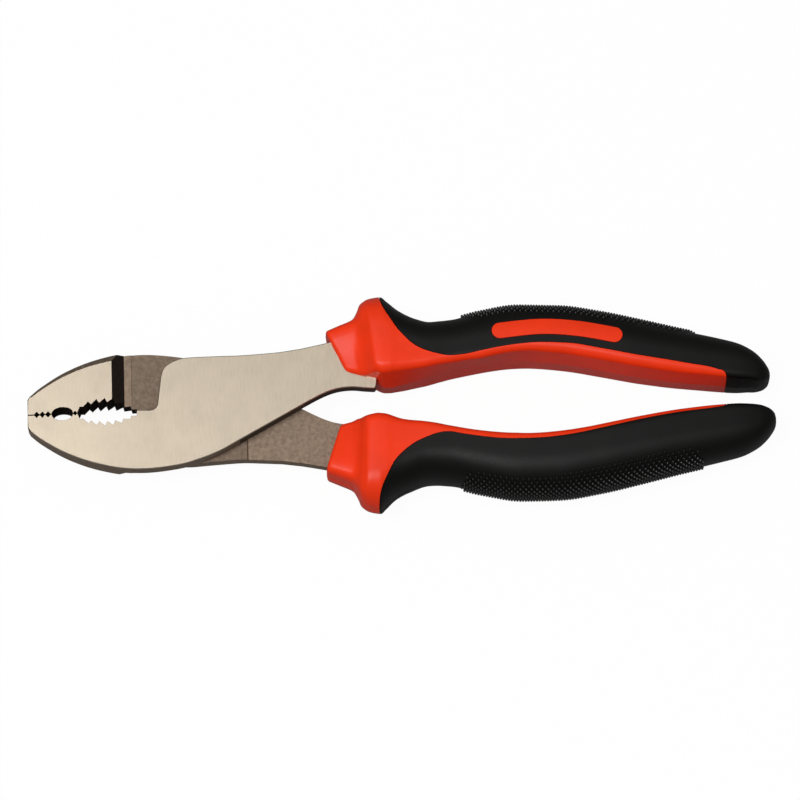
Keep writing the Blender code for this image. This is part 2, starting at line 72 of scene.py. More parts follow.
# Side, name and body of each lever, and of each grip
LEVERS = ((UPPER, "front_lever", FRONT_HALF), (LOWER, "rear_lever", REAR_HALF))
GRIPS = ((UPPER, "upper", FRONT_HALF), (LOWER, "lower", REAR_HALF))

# Head, in mm
HEAD_HALF = 4.5
NOSE_HALF = 3.3
NOSE_POWER = 1.6
NOSE_CUTS = 6
NOSE_X = -43.9
NOSE_HALF_HEIGHT = 3.8
JAW_GAP = 0.24
NOSE_CHAMFER = 0.5
JAW_CHAMFER = 2.0
SHOULDER_X = -21.2
SHOULDER_RUN = 3.2
LAP_GAP = 0.2
LAP_START_X = -16.1
LAP_END_X = 14.6
LAP_STRIP_STEP = 0.3
NECK_STEP = 0.4
NECK_STEP_RUN = 0.35
HOOK_X = -9.0
HOOK_FILLET = 2.0

# Jaw notches and the small oval, in mm
NOTCH_CENTRES = (-41.45, -39.93, -38.41)
NOTCH_HALF_WIDTH = 0.67
NOTCH_DEPTH = 0.72
LONE_NOTCH_X = -31.1
LONE_NOTCH_SIZE = 0.5
OVAL_X = -34.55
OVAL_HALF_LENGTH = 2.9
OVAL_DEPTH = 1.75
OVAL_TOOTH = 0.05
OVAL_STEPS = 30
BITE_EDGE = 0.04

# Toothed hole, in mm
HOLE_START_X = -30.55
HOLE_END_X = -14.6
HOLE_MIDDLE_X = -22.7
HOLE_HALF_LENGTH = 8.0
HOLE_DEPTH = 3.8
TOOTH_COUNT = 7
TOOTH_FIRST_X = -29.85
TOOTH_PITCH = 2.25
TOOTH_TIP_RATIO = 0.68
TOOTH_FLANK_FIRST = 0.9
TOOTH_FLANK_LAST = 0.2

# Rivet, in mm
RIVET_RADIUS = 4.5
RIVET_HEAD_RADIUS = 6.2
RIVET_HEAD_DEPTH = 1.7
RIVET_DOME = 0.1
RIVET_DOME_RUN = 0.55
RIVET_DOME_SHARE = 0.8
RIVET_EDGE = 0.18
RIVET_CLEARANCE = 0.08
RIVET_SEAT = 1.0
RIVET_FACETS = 96

# How far the closing line lies towards the lower jaw, as x and the distance
CLOSING_DROP = ((-43.9, 0.42), (-34.0, 0.4), (-22.0, 0.3), (-14.6, 0.12), (-11.0, 0.0))
# Lower edge of the front lever, from the nose to the neck
LOWER_EDGE = (
    (-43.3, -4.8), (-40.6, -7.1), (-35.3, -10.5), (-30.0, -13.0), (-24.6, -14.8), (-18.5, -16.1),
    (-11.5, -16.4), (-3.4, -15.5), (1.9, -14.1), (7.4, -12.0), (12.8, -9.1),
)
# Upper edge of the joint plate, from the hook to the neck
PLATE_TOP = (
    (-8.1, 8.8), (-7.6, 10.6), (-6.4, 12.2), (-3.9, 13.5), (-1.2, 14.1), (6.0, 14.0), (13.2, 13.85),
    (18.6, 14.1), (24.0, 14.45),
)
# How far each lever's outer and inner neck edges lie from the drawn ones, and where along the neck
NECK_MOVE = {UPPER: (0.5, 0.0), LOWER: (-0.5, -0.4)}
NECK_SPAN = ((0.0, 0.0), (10.0, 1.0), (42.0, 1.0), (52.0, 0.0))
# Neck and tang: x, lower edge, upper edge
TANG = (
    (29.4, 0.0, 15.2), (35.0, 2.9, 16.3), (39.0, 4.3, 17.2), (43.0, 4.7, 17.9), (46.6, 4.35, 18.1),
    (48.4, 4.2, 18.2), (49.1, 4.2, 18.2), (49.5, 4.5, 18.2), (49.75, 5.4, 18.2), (49.85, 6.8, 18.2),
    (50.0, 8.2, 18.2), (50.6, 9.2, 18.1), (52.5, 9.8, 18.0), (56.0, 10.2, 17.8), (62.0, 11.0, 17.6),
    (75.0, 14.0, 18.6), (90.0, 15.8, 20.0), (104.0, 14.2, 18.2), (112.0, 12.6, 16.4),
)
# Grip sections along the upper handle:
# x at the outer edge, outer y, crown, power, half thickness, inner y, rounding of the inner edge
STATIONS = (
    (35.8, 19.5, 3.4, 4.0, 6.8, 8.4, 1.4),
    (39.4, 21.0, 3.8, 4.0, 7.3, 7.4, 1.6),
    (43.3, 22.8, 4.4, 3.6, 7.8, 6.6, 2.0),
    (44.5, 24.8, 5.4, 3.2, 8.6, 6.4, 2.2),
    (45.3, 26.9, 6.6, 2.8, 9.6, 6.2, 2.4),
    (46.2, 27.9, 7.6, 2.5, 10.4, 6.0, 2.5),
    (47.0, 28.5, 8.4, 2.4, 11.1, 5.8, 2.6),
    (48.2, 29.0, 9.2, 2.3, 11.3, 5.4, 2.8),
    (50.6, 29.4, 9.6, 2.2, 11.4, 5.1, 2.8),
    (52.2, 28.1, 9.2, 2.2, 11.4, 5.1, 2.8),
    (55.0, 25.6, 8.4, 2.2, 11.2, 5.6, 2.6),
    (59.0, 23.4, 7.9, 2.3, 11.0, 6.7, 2.2),
    (64.0, 22.0, 7.8, 2.3, 10.9, 7.8, 2.0),
    (69.4, 22.4, 8.2, 2.3, 10.8, 9.15, 2.0),
    (77.4, 24.3, 8.8, 2.3, 10.8, 10.7, 2.0),
    (88.0, 26.0, 9.2, 2.3, 10.8, 11.85, 2.0),
    (98.8, 25.8, 9.4, 2.3, 10.8, 10.8, 2.4),
    (109.5, 24.2, 9.4, 2.3, 10.8, 8.85, 2.5),
    (120.2, 21.8, 9.0, 2.3, 10.6, 6.7, 2.5),
    (130.8, 19.2, 8.0, 2.3, 10.1, 4.9, 2.3),
    (141.5, 16.8, 7.4, 2.3, 9.4, 3.7, 1.8),
    (147.2, 15.3, 6.8, 2.3, 8.9, 3.3, 1.8),
    (151.4, 13.1, 5.6, 2.3, 8.1, 3.4, 1.7),
    (154.0, 10.7, 4.0, 2.3, 6.8, 3.9, 1.5),
    (155.5, 8.6, 2.3, 2.2, 5.0, 4.8, 1.1),
    (155.95, 7.7, 1.2, 2.1, 3.4, 5.5, 0.7),
    (156.1, 6.9, 0.4, 2.0, 1.2, 6.2, 0.2),
)
Station = namedtuple("Station", "x edge crown power half inner rounding")
# How far the sections of the collar and the guard lean back, as x and the slope
LEAN = {
    UPPER: ((35.8, 0.5), (39.4, 0.4), (43.3, 0.2), (46.2, 0.13), (50.6, 0.05), (55.0, 0.0)),
    LOWER: ((35.8, 0.31), (39.4, 0.24), (43.3, 0.08), (46.2, 0.03), (50.6, 0.0)),
}
# How much fuller each grip is on its inner side, as x and the extra width
FULLNESS = {
    UPPER: ((44.0, 0.0), (49.0, 0.3), (56.0, 0.2), (70.0, 0.2), (90.0, 0.2), (105.0, 0.0), (120.0, 0.0),
            (137.0, -0.35), (150.0, -0.18), (156.1, 0.0)),
    LOWER: ((35.8, 2.7), (39.4, 2.3), (43.3, 2.1), (46.4, 1.65), (48.2, 1.4), (50.6, 1.35), (57.0, 0.8),
            (62.0, 1.1), (80.0, 1.42), (87.0, 1.77), (95.0, 1.45), (107.0, 1.06), (131.0, 1.0),
            (150.0, 0.85), (156.1, 0.0)),
}
# Drop of the collar's faces towards the inner side, as x and the drop
COLLAR_DROP = ((35.8, 1.5), (41.0, 1.2), (46.0, 0.0))
# How far the front and the back edge of the inner side stand in from its middle, as x and the distance
INNER_DRAFT = {
    UPPER: (((35.8, -0.3), (39.4, -0.2), (43.3, 0.2), (45.5, 0.7), (47.0, 1.3), (53.4, 1.8), (61.4, 0.7),
             (70.0, -0.2), (77.5, -0.6), (84.0, -0.1), (91.0, 0.5), (99.0, 0.65), (143.0, 0.65),
             (150.0, 0.5), (155.5, 0.0)),
            ((47.0, 0.8), (53.4, 0.9), (58.0, 0.5), (62.0, 0.2), (66.8, 0.0), (75.0, 0.0), (79.0, 0.15),
             (87.0, 0.24), (91.0, 0.43), (95.0, 0.55), (143.0, 0.5), (150.0, 0.5), (155.5, 0.0))),
    LOWER: (((150.0, 0.5), (155.5, 0.0)),) * 2,
}
# Where the cover starts behind the guard, from the outer edge to the inner side
GUARD_BORDER = (
    (50.2, 29.6), (50.5, 27.0), (51.4, 24.3), (53.4, 20.6), (55.3, 17.6), (58.6, 14.3), (62.4, 12.1),
)
BORDER_JOIN_X = 68.0
BORDER_STEP = 5.0
RED_END_X = 143.4
# Rise of the cover's edge above the inner side, along each handle
BORDER_RISE = {
    UPPER: ((68.0, 1.9), (71.0, 0.95), (76.0, 1.05), (82.0, 1.4), (88.0, 1.9), (95.0, 2.9), (103.0, 3.4),
            (127.0, 3.4), (RED_END_X, 2.4)),
    LOWER: ((68.0, 2.85), (71.0, 2.5), (83.0, 2.5), (90.0, 2.3), (100.0, 2.3), (107.0, 2.06),
            (123.0, 1.75), (RED_END_X, 1.5)),
}
RED_END_ROUND = 2.0
# Middle line of the window pad
PAD_LINE = ((82.9, 17.2), (94.0, 18.4), (104.0, 17.7), (113.5, 15.9))
PAD_HALF_HEIGHT = 2.3
PAD_RISE = 0.2
PAD_SINK = 2.2

# How the grips sit on the tangs: turned a little about Z, then moved along and across as x and the move
GRIP_TURN = {UPPER: math.radians(-0.85), LOWER: math.radians(-0.6)}
GRIP_TURN_X = 95.0
GRIP_ALONG = {
    UPPER: ((44.0, 0.0), (45.5, -0.1), (48.0, 0.1), (52.0, 0.4), (56.0, 0.85), (62.0, 0.6), (70.0, 0.0),
            (142.0, 0.0), (156.1, -0.8)),
    LOWER: ((40.0, 0.0), (44.0, -0.3), (45.5, -0.25), (48.0, -0.1), (52.0, -0.4), (56.0, -0.85),
            (62.0, -0.6), (70.0, 0.0), (142.0, 0.0), (156.1, 0.55)),
}
GRIP_ACROSS = ((50.0, 0.0), (56.0, -0.15), (59.0, -0.1), (66.0, 0.3), (82.0, 0.22), (95.0, 0.0))

# Resolution and tolerances of the drawn shapes, in mm
OUTLINE_STEPS = 10
BORDER_STEPS = 8
CORNER_STEPS = 8
CROWN_POINTS = 24
FLANK_POINTS = 5
INNER_POINTS = 30
SAMPLE_STEPS = 120
FINE_STEP = 0.35
PLAIN_STEP = 0.8
GUARD_SPAN = (42.0, 54.0)
TAIL_X = 149.0
TAIL_SHARES = (0.75, 0.9, 1.0)
OVERCUT = 2.0
MERGE_DISTANCE = 0.002
CUT_DISTANCE = 0.001
ROUND_POWER = 2.0
SHARP_ANGLE = math.radians(28)
MITER_LIMIT = 2.0

# How the steel's faces are told apart: distances in mm, then least parts of the face's normal
SKIN_NEAR = 0.3
BITE_MARGIN = 1.0
NOSE_MARGIN = 0.5
FACING = 0.5
SLOPING = 0.3
FLAT = 0.95

# Studs, in mm
STUD_START_X = 72.2
STUD_END_X = {UPPER: 135.5, LOWER: 137.0}
STUD_END_ROUND = (4.2, 4.0)
# How far the studs reach down from the outer edge, on each grip's front and on both backs
STUD_DROP = {
    UPPER: ((72.2, 2.6), (82.0, 3.2), (110.0, 3.2), (123.0, 2.0), (130.0, 1.6), (135.5, 1.0)),
    LOWER: ((86.0, 3.2), (99.0, 4.0), (110.0, 4.9), (123.0, 4.2), (137.0, 3.4)),
}
STUD_BACK_DROP = STUD_DROP[LOWER]
STUD_ROW = 1.18
STUD_SINK = 0.2
STUD_SIDES = 8
STUD_PROBE = 0.05
# A stud's outline above its foot, as shares of its radius and its height
STUD_PROFILE = ((0.92, 0.35), (0.74, 0.75), (0.40, 0.96))

# Mould parting ridge along the outer side, in mm
RIDGE_HEIGHT = 0.14
RIDGE_HALF_WIDTH = 0.34
RIDGE_END = (58.0, 66.0)

# Studio, in metres: the soft box over the tool, the world that darkens to the horizon, and the floor
KEY_PLACE = (-0.35, -0.2, 1.3)
KEY_SIZE = 0.6
WORLD_BRIGHT_SIDE = (0.0, 0.0, 1.0)
WORLD_DARK_SHARE = 0.3
WORLD_FADE = (0.1, 0.9)
WHITE = (1.0, 1.0, 1.0, 1.0)
FLOOR_HALF = 3.0
FLOOR_DROP = 0.0003
FLOOR_BOUNCE = 0.22
FLOOR_GLOW_CAMERA = 0.96
FLOOR_GLOW_GLOSSY = 0.05
CLIP_START = 0.01

# Finishes: darker and lighter shares of a colour, and each forged tone's name, share and roughness
GROUND_TONES = (0.88, 1.06)
BROAD_SHARE = 0.4
RIVET_SHADE = 0.8
# The lap, neck and sides take shares of their own; the neck's downward edge takes a far darker one, as
# painted shade
FORGED_STEELS = (("forged_lap", 0.85, 0.5), ("forged_neck", 1.1, 0.5), ("forged_side", 1.25, 0.5),
                 ("painted_shade_edge", 0.35, 0.6))


class PliersLeverSettings(PropertyGroup):
    edge_break: FloatProperty(
        name="Edge break", description="Width of the ground edge along each face",
        default=0.22 * MM, unit="LENGTH")
    ground_colour: FloatVectorProperty(
        name="Ground face", description="Colour of the ground steel", subtype="COLOR",
        default=(0.475, 0.408, 0.32))
    forged_colour: FloatVectorProperty(
        name="Forged face", description="Colour of the unground steel", subtype="COLOR",
        default=(0.19, 0.138, 0.098))
    # Dark colour painted on the walls of the bite, the toothed hole and the shoulder slope, as shade
    recess_shade_colour: FloatVectorProperty(
        name="Painted recess shade", description="Colour of the dark walls in the recesses", subtype="COLOR",
        default=(0.018, 0.013, 0.010))


class PliersGripSettings(PropertyGroup):
    red_colour: FloatVectorProperty(
        name="Hard core", description="Colour of the hard grip core", subtype="COLOR",
        default=(0.87, 0.039, 0.006))
    black_colour: FloatVectorProperty(
        name="Soft cover", description="Colour of the soft cover", subtype="COLOR",
        default=(0.0024, 0.0021, 0.0018))
    seam: FloatProperty(
        name="Seam", description="Gap between the core and the cover", default=0.14 * MM, unit="LENGTH")
    lip_round: FloatProperty(
        name="Lip rounding", description="Rounding of the collar's front edge",
        default=0.9 * MM, unit="LENGTH")
    stud_pitch: FloatProperty(
        name="Stud pitch", description="Distance between studs in a row",
        default=1.48 * MM, unit="LENGTH")
    stud_radius: FloatProperty(
        name="Stud radius", description="Radius of a stud at its foot", default=0.42 * MM, unit="LENGTH")
    stud_height: FloatProperty(
        name="Stud height", description="How far a stud stands out", default=0.78 * MM, unit="LENGTH")


class PliersStageSettings(PropertyGroup):
    elevation: FloatProperty(
        name="Elevation", description="Camera height above the floor plane", default=math.radians(75),
        subtype="ANGLE")
    roll: FloatProperty(
        name="Roll", description="Turn of the tool in the picture", default=math.radians(1.55),
        subtype="ANGLE")
    distance: FloatProperty(
        name="Distance", description="Camera distance from the tool", default=1.79, unit="LENGTH")
    lens: FloatProperty(
        name="Lens", description="Focal length in mm", default=300.0, unit="CAMERA")
    target: FloatVectorProperty(
        name="Target", description="Aim of the camera, from the pivot", default=(0.05595, 0.00193, 0.0),
        subtype="TRANSLATION")
    key_power: FloatProperty(
        name="Key light", description="Power of the soft box", default=12.4, unit="POWER")
    fill: FloatProperty(name="Fill", description="Strength of the world's light", default=0.45)
    floor_colour: FloatVectorProperty(
        name="Floor", description="Colour of the floor", subtype="COLOR", default=(0.95, 0.95, 0.95))


def smooth(points, steps=OUTLINE_STEPS):
    """Points along a curve that passes through the given ones."""
    ends = [points[0]] + list(points) + [points[-1]]
    curve = []
    for index in range(1, len(ends) - 2):
        before, start, end, after = (Vector(point) for point in ends[index - 1:index + 3])
        for step in range(steps):
            t = step / steps
            curve.append(tuple(
                0.5 * (2 * start + (end - before) * t
                       + (2 * before - 5 * start + 4 * end - after) * t ** 2
                       + (3 * start - before - 3 * end + after) * t ** 3)))
    curve.append(tuple(points[-1]))
    return curve


def slopes(xs, ys):
    """Slopes of a curve through the values that never overshoots them."""
    rates = [(ys[i + 1] - ys[i]) / (xs[i + 1] - xs[i]) for i in range(len(xs) - 1)]
    inner = [2 * a * b / (a + b) if a * b > 0 else 0.0 for a, b in zip(rates, rates[1:])]
    return [rates[0]] + inner + [rates[-1]]


STATION_X = [row[0] for row in STATIONS]
STATION_SLOPES = [slopes(STATION_X, [row[k] for row in STATIONS]) for k in range(len(STATIONS[0]))]


def station(x):
    """The grip's section values at a place along the handle."""
    i = max(k for k in range(len(STATIONS) - 1) if STATION_X[k] <= x or k == 0)
    span = STATION_X[i + 1] - STATION_X[i]
    t = (x - STATION_X[i]) / span
    values = []
    for k, slope in enumerate(STATION_SLOPES):
        a, b = STATIONS[i][k], STATIONS[i + 1][k]
        values.append(a * (1 + 2 * t) * (1 - t) ** 2 + b * t * t * (3 - 2 * t)
                      + span * (slope[i] * t * (1 - t) ** 2 - slope[i + 1] * t * t * (1 - t)))
    return Station(*values)


def resample(points, count):
    """The polyline's points spaced evenly, as many parts as the count."""
    lengths = [0.0]
    for near, far in zip(points, points[1:]):
        lengths.append(lengths[-1] + math.dist(near, far))
    placed = []
    i = 0
    for k in range(count + 1):
        wanted = lengths[-1] * k / count
        while i < len(points) - 2 and lengths[i + 1] < wanted:
            i += 1
        span = lengths[i + 1] - lengths[i]
        t = (wanted - lengths[i]) / span if span else 0.0
        placed.append(tuple(a + (b - a) * t for a, b in zip(points[i], points[i + 1])))
    return placed


def between(table, x):
    """Value at x of the line through the table's points, level beyond its ends."""
    for (near, low), (far, high) in zip(table, table[1:]):
        if x < far:
            return low + (high - low) * max(0.0, x - near) / (far - near)
    return table[-1][1]


def quarter(width, height, power):
    """A quarter of a rounded box from (width, 0) to (0, height); a higher power is sharper."""
    curve = []
    for step in range(SAMPLE_STEPS + 1):
        angle = 0.5 * math.pi * step / SAMPLE_STEPS
        curve.append((width * max(0.0, math.cos(angle)) ** (2 / power),
                      height * math.sin(angle) ** (2 / power)))
    return curve


def rounded_corner(x, y, radius, rise):
    """A quarter circle that starts level at y and ends upright at x; the rise is up, 1, or down, -1."""
    angles = (0.5 * math.pi * step / CORNER_STEPS for step in range(CORNER_STEPS + 1))
    return [(x - radius * (1 - math.sin(angle)), y + rise * radius * (1 - math.cos(angle)))
            for angle in angles]


def crown_line(x, inset=0.0):
    """The section's outer curve in (y, z), from its top to where the flat side starts."""
    here = station(x)
    curve = quarter(here.crown - inset, here.half - inset, here.power)
    return [(here.edge - here.crown + y, z) for y, z in curve]


def inner_middle(x, side):
    return station(x).inner - between(FULLNESS[side], x)


def inner_line(x, side, draft, inset=0.0):
    """The section's inner curve in (y, z): a rounded edge, then the drafted inner side to its middle."""
    here = station(x)
    middle = inner_middle(x, side)
    centre_y = middle + between(draft, x) + here.rounding
    centre_z = here.half - between(COLLAR_DROP, x) - here.rounding
    radius = here.rounding - inset
    edge = [(centre_y - y, centre_z + z) for y, z in reversed(quarter(radius, radius, ROUND_POWER))]
    return edge + [(middle, 0.0)]


def ridge(x):
    """Height of the mould parting ridge, which fades out along the grip."""
    return RIDGE_HEIGHT * min(1.0, max(0.0, (RIDGE_END[1] - x) / (RIDGE_END[1] - RIDGE_END[0])))


def section(x, side, inset=0.0):
    """One closed section of the grip in (y, z), drawn in by the inset."""
    curve = crown_line(x, inset)
    top = curve[0][0]
    outer = [(top, RIDGE_HALF_WIDTH)] + [place for place in curve if place[1] > RIDGE_HALF_WIDTH]
    outer = [(top + ridge(x), 0.0)] + resample(outer, CROWN_POINTS)
    halves = []
    for draft in INNER_DRAFT[side]:
        inner = inner_line(x, side, draft, inset)
        flank = resample([outer[-1], inner[0]], FLANK_POINTS)[1:-1]
        halves.append(outer + flank + resample(inner, INNER_POINTS))
    front, back = halves
    return front + [(y, -z) for y, z in reversed(back[1:-1])]


def ring(x, side, inset=0.0):
    lean = between(LEAN[side], x)
    edge = station(x).edge
    return [(x + lean * (edge - y), y, z) for y, z in section(x, side, inset)]


def head_half(x):
    """Half the head's thickness at x: full behind the shoulder, thinner in straight runs to the nose."""
    steps = NOSE_CUTS * max(0.0, (SHOULDER_X - x) / (SHOULDER_X - NOSE_X))
    done = min(NOSE_CUTS - 1, int(steps))
    near, far = ((k / NOSE_CUTS) ** NOSE_POWER for k in (done, done + 1))
    return HEAD_HALF + (near + (far - near) * (steps - done)) * (NOSE_HALF - HEAD_HALF)


def made(name, bm):
    """A mesh object from the bmesh, its faces turned outwards."""
    bmesh.ops.recalc_face_normals(bm, faces=bm.faces)
    mesh = bpy.data.meshes.new(name)
    bm.to_mesh(mesh)
    bm.free()
    piece = bpy.data.objects.new(name, mesh)
    bpy.context.scene.collection.objects.link(piece)
    return piece


def discard(piece):
    mesh = piece.data
    bpy.data.objects.remove(piece)
    bpy.data.meshes.remove(mesh)


def combine(target, operation, *tools):
    """Apply exact booleans to the target one after another, and discard the tools."""
    for tool in tools:
        step = target.modifiers.new(tool.name, "BOOLEAN")
        step.operation = operation
        step.solver = "EXACT"
        step.object = tool
    bpy.context.view_layer.update()
    mesh = bpy.data.meshes.new_from_object(target.evaluated_get(bpy.context.evaluated_depsgraph_get()))
    if not mesh.polygons:
        raise RuntimeError(target.name + " has no faces left")
    target.modifiers.clear()
    old = target.data
    target.data = mesh
    bpy.data.meshes.remove(old)
    for tool in tools:
        discard(tool)
    return target


def seat(piece, side):
    """Put a grip piece that is drawn for the upper handle where it sits on its own tang."""
    if side == LOWER:
        piece.data.transform(HALF_TURN)
    for vert in piece.data.vertices:
        place = vert.co.x
        vert.co.x += between(GRIP_ALONG[side], place)
        vert.co.y += between(GRIP_ACROSS, place)
    middle = Matrix.Translation((GRIP_TURN_X, 0, 0))
    piece.data.transform(middle @ Matrix.Rotation(GRIP_TURN[side], 4, "Z") @ middle.inverted())


def paint(piece, materials):
    for material in materials:
        piece.data.materials.append(material)


def settle(piece, materials, body, node):
    """Bring the piece from mm into the frame, shade it, tie it to its body and hide its node's imported
    part.
    """
    bm = bmesh.new()
    bm.from_mesh(piece.data)
    bmesh.ops.remove_doubles(bm, verts=bm.verts, dist=MERGE_DISTANCE)
    bmesh.ops.triangulate(bm, faces=[face for face in bm.faces if len(face.verts) > 4])
    bm.to_mesh(piece.data)
    bm.free()
    piece.data.transform(Matrix.Translation(PIVOT) @ Matrix.Scale(MM, 4))
    if not piece.data.materials:
        paint(piece, materials)
    piece.data.shade_smooth()
    piece.data.set_sharp_from_angle(angle=SHARP_ANGLE)
    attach(piece, body)
    if node:
        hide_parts(node)


def bridge(bm, loops):
    """Faces between each loop of vertices and the next."""
    count = len(loops[0])
    for near, far in zip(loops, loops[1:]):
        for i in range(count):
            bm.faces.new((near[i], near[(i + 1) % count], far[(i + 1) % count], far[i]))


def loft(name, rings):
    """A closed body through rings of equal point counts, with a flat face on each end."""
    bm = bmesh.new()
    loops = [[bm.verts.new(place) for place in points] for points in rings]
    bridge(bm, loops)
    bm.faces.new(loops[0])
    bm.faces.new(loops[-1])
    return made(name, bm)


def inset_outline(outline, distances):
    """The outline with each point moved inwards by its distance."""
    area = sum(a[0] * b[1] - b[0] * a[1] for a, b in zip(outline, outline[1:] + outline[:1]))
    turn = 1 if area > 0 else -1
    moved = []
    for i, place in enumerate(outline):
        here = Vector(place)
        back = (here - Vector(outline[i - 1])).normalized()
        ahead = (Vector(outline[(i + 1) % len(outline)]) - here).normalized()
        inward = [turn * Vector((-side.y, side.x)) for side in (back, ahead)]
        middle = (inward[0] + inward[1]).normalized()
        stretch = 1 / max(1 / MITER_LIMIT, middle.dot(inward[0]))
        moved.append(tuple(here + middle * distances[i] * stretch))
    return moved


def slab(name, outline, low, high, edges):
    """An outline extruded from low to high, with both rims chamfered by each point's own width."""
    inner = inset_outline(outline, edges)
    rims = ((inner, low, 0), (outline, low, 1), (outline, high, -1), (inner, high, 0))
    rings = []
    for points, level, share in rims:
        rings.append([(x, y, level + share * edge) for (x, y), edge in zip(points, edges)])
    return loft(name, rings)


def block(name, outline, low, high):
    return loft(name, [[(x, y, z) for x, y in outline] for z in (low, high)])


def notch(x, half_width, depth, line):
    return [(x - half_width, line), (x, line - depth), (x + half_width, line)]


def hole_depth(x):
    reach = (x - HOLE_MIDDLE_X) / HOLE_HALF_LENGTH
    return HOLE_DEPTH * math.sqrt(max(0.0, 1 - reach * reach))


def closing_line(side):
    """The biting edge of a lever's jaw, drawn for the front one, from the nose to the hole's end."""
    line = -JAW_GAP / 2
    points = [(NOSE_X, line)]
    for centre in NOTCH_CENTRES:
        points += notch(centre, NOTCH_HALF_WIDTH, NOTCH_DEPTH, line)
    for step in range(OVAL_STEPS + 1):
        angle = math.pi * step / OVAL_STEPS
        reach = 1 - OVAL_TOOTH * (step % 2)
        points.append((OVAL_X - OVAL_HALF_LENGTH * math.cos(angle) * reach,
                       line - OVAL_DEPTH * math.sin(angle) * reach))
    points += notch(LONE_NOTCH_X, LONE_NOTCH_SIZE, LONE_NOTCH_SIZE, line)
    points.append((HOLE_START_X, line))
    for i in range(TOOTH_COUNT):
        valley = TOOTH_FIRST_X + i * TOOTH_PITCH
        share = i / (TOOTH_COUNT - 1)
        tip = valley + TOOTH_FLANK_FIRST + (TOOTH_FLANK_LAST - TOOTH_FLANK_FIRST) * share
        points.append((valley, -hole_depth(valley)))
        points.append((tip, -hole_depth(tip) * TOOTH_TIP_RATIO))
    points.append((HOLE_END_X, points[-1][1]))
    points.append((HOLE_END_X, line))
    return [(x, y - side * between(CLOSING_DROP, x)) for x, y in points]


def moved_neck(points, move):
    return [(x, y + move * between(NECK_SPAN, x)) for x, y in points]


def lever_outline(side):
    line = -JAW_GAP / 2
    outer, inner = NECK_MOVE[side]
    fillet = rounded_corner(HOOK_X, line, HOOK_FILLET, 1)
    plate = smooth(moved_neck(PLATE_TOP, outer))
    upper = smooth(moved_neck([(x, top) for x, _, top in TANG], outer))
    lower = smooth(moved_neck([(x, bottom) for x, bottom, _ in TANG], inner))
    lower_edge = smooth(moved_neck(LOWER_EDGE, inner))
    nose = [(NOSE_X, -NOSE_HALF_HEIGHT)]
    return closing_line(side) + fillet + plate + upper + lower[::-1] + lower_edge[::-1] + nose


def lap_mill():
    """What is milled away behind the joint plate and the neck."""
    lap = LAP_GAP / 2
    strip = lap - LAP_STRIP_STEP
    neck = lap + NECK_STEP
    deep = -HEAD_HALF - OVERCUT
    foot = SHOULDER_X + SHOULDER_RUN
    run = SHOULDER_RUN / (HEAD_HALF + strip) * OVERCUT
    far = TANG[-1][0] + OVERCUT
    profile = ((SHOULDER_X - run, deep), (foot, strip), (LAP_START_X, strip), (LAP_START_X, lap),
               (LAP_END_X, lap), (LAP_END_X + NECK_STEP_RUN, neck), (far, neck), (far, deep))
    width = 2 * max(abs(y) for _, y in LOWER_EDGE)
    return loft("lap_mill", [[(x, y, z) for x, z in profile] for y in (-width, width)])


def jaw_chamfer():
    """A triangle swept along the back of the jaw's outer edge, wider towards the shoulder."""
    edge = [Vector(point) for point in smooth(LOWER_EDGE) if point[0] < SHOULDER_X + SHOULDER_RUN]
    rings = []
    for i, place in enumerate(edge):
        along = (edge[min(i + 1, len(edge) - 1)] - edge[max(i - 1, 0)]).normalized()
        outward = Vector((along.y, -along.x))
        size = NOSE_CHAMFER + (JAW_CHAMFER - NOSE_CHAMFER) * i / (len(edge) - 1)
        back = -head_half(place.x)
        inside = place - 2 * size * outward
        outside = place + size * outward
        rings.append([(*inside, back - size), (*outside, back - size), (*outside, back + 2 * size)])
    return loft("jaw_chamfer", rings)


def lever(name, side, edge_break):
    """A lever, drawn as the front one: broken edges, thinned nose, milled lap and chamfered back."""
    outline = lever_outline(side)
    bite = len(closing_line(side))
    edges = [BITE_EDGE] * bite + [edge_break] * (len(outline) - bite)
    piece = slab(name, outline, -HEAD_HALF, HEAD_HALF, edges)
    bm = bmesh.new()
    bm.from_mesh(piece.data)
    bmesh.ops.triangulate(bm, faces=bm.faces, ngon_method="EAR_CLIP")
    for cut in range(NOSE_CUTS):
        x = SHOULDER_X + (NOSE_X - SHOULDER_X) * cut / NOSE_CUTS
        bmesh.ops.bisect_plane(bm, geom=bm.verts[:] + bm.edges[:] + bm.faces[:], dist=CUT_DISTANCE,
                               plane_co=(x, 0, 0), plane_no=(1, 0, 0))
    for vert in bm.verts:
        vert.co.z *= head_half(vert.co.x) / HEAD_HALF
    bmesh.ops.triangulate(bm, faces=bm.faces, ngon_method="EAR_CLIP")
    bm.to_mesh(piece.data)
    bm.free()
    combine(piece, "DIFFERENCE", lap_mill(), jaw_chamfer())
    return piece


def rivet(name, gap, beyond):
    """The rivet's back head and shank; the gap and the extra depth make its hole."""
    slope = (RIVET_HEAD_RADIUS - RIVET_RADIUS) / RIVET_HEAD_DEPTH
    rim = RIVET_HEAD_RADIUS + gap + slope * beyond
    shank = RIVET_RADIUS + gap
    back = -HEAD_HALF
    if beyond:
        head = [(0.0, back - beyond), (rim, back - beyond)]
    else:
        head = [(0.0, back - RIVET_DOME), (RIVET_DOME_RUN * rim, back - RIVET_DOME_SHARE * RIVET_DOME),
                (rim - 2 * RIVET_EDGE, back), (rim - RIVET_EDGE / 2, back + RIVET_EDGE)]
    profile = head + [(shank, back + RIVET_HEAD_DEPTH), (shank, RIVET_SEAT), (0.0, RIVET_SEAT)]
    bm = bmesh.new()
    verts = [bm.verts.new((radius, 0.0, z)) for radius, z in profile]
    edges = [bm.edges.new(pair) for pair in zip(verts, verts[1:])]
    bmesh.ops.spin(bm, geom=verts + edges, cent=(0, 0, 0), axis=(0, 0, 1), angle=math.tau,
                   steps=RIVET_FACETS, use_merge=True)
    bmesh.ops.remove_doubles(bm, verts=bm.verts, dist=MERGE_DISTANCE)
    return made(name, bm)
